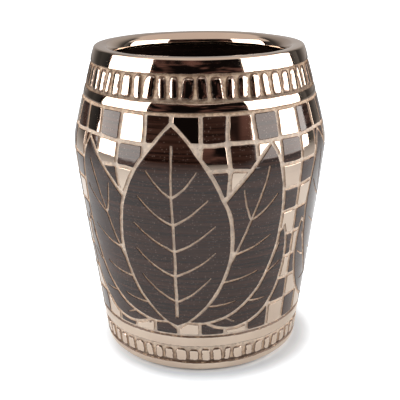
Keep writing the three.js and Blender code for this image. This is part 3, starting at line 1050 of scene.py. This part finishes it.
def table_finish(to_camera, to_gloss):
    """Pale matt paint that shows white round the shadow, and dims far out where only gloss sees it."""
    material, nodes, shader = new_finish("white_table")
    shader.inputs["Base Color"].default_value = (0.83, 0.885, 0.935, 1)
    shader.inputs["Roughness"].default_value = 0.9
    shader.inputs["Specular IOR Level"].default_value = 0.0
    direct, mirrored = ray_kinds(nodes)
    place = nodes.place()
    near = nodes.add("ShaderNodeVectorMath", {0: place}, operation="LENGTH").outputs["Value"]
    from_shadow = nodes.add("ShaderNodeVectorMath", {0: place, 1: SHADOW_CENTRE}, operation="DISTANCE")
    away = from_shadow.outputs["Value"]
    # Painted light: a thin glowing ring on the table at the heel lifts the contact shadow there
    outside = nodes.ramp(near, *GLOW_OUTSIDE, 0.0, GLOW_LEVEL)
    painted_heel_glow = nodes.times(nodes.ramp(near, *GLOW_INSIDE), outside)
    # The white glow is left out in a disc round the foot, set off to the right and front, so the real shadow
    # shows there
    clear = nodes.math("ADD", nodes.ramp(away, SHADOW_START, SHADOW_END), painted_heel_glow, clamp=True)
    shown = nodes.times(direct, nodes.times(clear, to_camera))
    # Painted shadow: in reflections the table's glow is dimmed in the shadow disc and kept lower near the
    # vase
    shade = nodes.ramp(clear, 0.0, 1.0, SHADED_GLOSS, 1.0)
    level = nodes.times(shade, nodes.ramp(away, TABLE_NEAR, TABLE_FAR, to_gloss, FAR_GLOSS))
    fade = nodes.math("DIVIDE", TABLE_DIM, away, clamp=True)
    strength = nodes.math("MULTIPLY_ADD", mirrored, nodes.times(level, fade), shown)
    tint = nodes.blend(mirrored, WHITE, TABLE_TINT)
    white = nodes.add("ShaderNodeEmission", {"Color": tint, "Strength": strength})
    far = nodes.times(mirrored, nodes.math("SUBTRACT", 1.0, fade))
    dimmed = nodes.add("ShaderNodeMixShader", {0: far, 1: shader.outputs[0]})
    both = nodes.add("ShaderNodeAddShader", {0: dimmed.outputs[0], 1: white.outputs[0]})
    nodes.link(both.outputs[0], nodes.tree.nodes["Material Output"].inputs["Surface"])
    return material


def lay_floor(to_camera, to_gloss):
    """A pale table top: it shows white, and keeps the shadow of the vase."""
    bm = bmesh.new()
    bmesh.ops.create_grid(bm, x_segments=1, y_segments=1, size=TABLE_SIZE)
    floor = make_object("table_top", bm, [table_finish(to_camera, to_gloss)])


def hang_lamp(name, place, aim, width, height, radiance):
    """A flat soft lamp for light and shadow, unseen by gloss, which sees the screens instead."""
    lamp = bpy.data.lights.new(name, "AREA")
    lamp.shape = "RECTANGLE"
    lamp.size, lamp.size_y = width, height
    lamp.energy = radiance * math.pi * width * height
    light = bpy.data.objects.new(name, lamp)
    towards = (Vector(aim) - Vector(place)).to_track_quat("-Z", "Y")
    light.matrix_world = Matrix.Translation(place) @ towards.to_matrix().to_4x4()
    scene.collection.objects.link(light)
    light.visible_camera = False
    light.visible_glossy = False


def glowing_finish(name, colour_of):
    """A material that only glows, in the colour that its nodes give."""
    material, nodes, _ = new_finish(name)
    glow = nodes.add("ShaderNodeEmission", {"Color": colour_of(nodes), "Strength": 1.0})
    nodes.link(glow.outputs[0], nodes.tree.nodes["Material Output"].inputs["Surface"])
    return material


def stand_screen(name, start, end, radius, high, shade, patch, rise=0.0):
    """A curved screen that only reflections see: a clouded lamp or room, or a wall that pales to the back."""
    def clouded(nodes):
        cloud = nodes.ramp(nodes.noise(SCREEN_CLOUDS, stretch=SCREEN_STRETCH), 0.52, 0.74)
        return nodes.blend(cloud, (*shade, 1), (*patch, 1))

    def graded(nodes):
        near, far = sorted(-radius * math.cos(math.radians(side)) for side in (start, end))
        pale = nodes.math("POWER", nodes.ramp(nodes.along("Y"), near, far), rise)
        wall = nodes.blend(pale, (*shade, 1), (*patch, 1))
        return nodes.blend(nodes.ramp(nodes.along("Z"), SCREEN_FADE * high, high), wall, SKY)

    bm = bmesh.new()
    verts = [bm.verts.new(on_side(start, radius, z)) for z in (0, high)]
    edge = bm.edges.new(verts)
    bmesh.ops.spin(bm, geom=verts + [edge], cent=(0, 0, 0), axis=(0, 0, 1), dvec=(0, 0, 0),
                   angle=math.radians(end - start), steps=SCREEN_STEPS, use_merge=False)
    screen = make_object(name, bm, [glowing_finish(name, graded if rise else clouded)])
    screen.visible_camera = False
    screen.visible_diffuse = False
    screen.visible_shadow = False


def set_camera():
    """The camera at the photograph's viewing angle."""
    camera = bpy.data.cameras.new("photo_camera")
    camera.sensor_width = SENSOR
    camera.lens = LENS
    camera.clip_start = CLIP_START
    holder = bpy.data.objects.new("photo_camera", camera)
    tilt = Matrix.Rotation(math.radians(90 - CAMERA_TILT), 4, "X")
    roll = Matrix.Rotation(math.radians(CAMERA_ROLL), 4, "Z")
    holder.matrix_world = Matrix.Translation(CAMERA_PLACE) @ tilt @ roll
    scene.collection.objects.link(holder)
    scene.camera = holder


def on_side(azimuth, distance, height):
    """A place round the vase; azimuth 0 is the camera's side."""
    turn = math.radians(azimuth)
    return (distance * math.sin(turn), -distance * math.cos(turn), height)


light_world(ambient=0.4)
lay_floor(to_camera=0.9, to_gloss=0.365)
hang_lamp("left_softbox", on_side(-77, 0.75, 0.48), aim=(0, 0, 0.3), width=0.7, height=0.95, radiance=1.8)
hang_lamp("right_softbox", on_side(80, 0.75, 0.48), aim=(0, 0, 0.3), width=0.8, height=0.95, radiance=1.8)
hang_lamp("top_light", (-0.3, 0.3, 0.9), aim=(0, 0, 0), width=0.45, height=0.45, radiance=4.0)
stand_screen("left_lamp_face", -104, -50, LAMP_RADIUS, LAMP_TOP, LAMP_WHITE, LAMP_CLOUD)
stand_screen("right_lamp_face", 46, 110, LAMP_RADIUS, LAMP_TOP, LAMP_WHITE, LAMP_CLOUD)
stand_screen("dark_room", -108, 113, ROOM_RADIUS, WALL_TOP, (0.007, 0.005, 0.005), (0.18, 0.092, 0.078))
stand_screen("left_dim_wall", -125, -108, ROOM_RADIUS, WALL_TOP,
             (0.035, 0.035, 0.036), (0.07, 0.067, 0.065), rise=1.0)
stand_screen("right_dim_wall", 113, 125, ROOM_RADIUS, WALL_TOP,
             (0.08, 0.078, 0.076), (0.16, 0.153, 0.148), rise=1.0)
stand_screen("left_corner", -180, -125, ROOM_RADIUS, CORNER_TOP, CORNER_SHADE, (0.48, 0.44, 0.42), rise=1.8)
stand_screen("right_corner", 125, 180, ROOM_RADIUS, CORNER_TOP, CORNER_SHADE, (0.54, 0.50, 0.475), rise=1.3)
set_camera()
scene.view_settings.view_transform = "Standard"
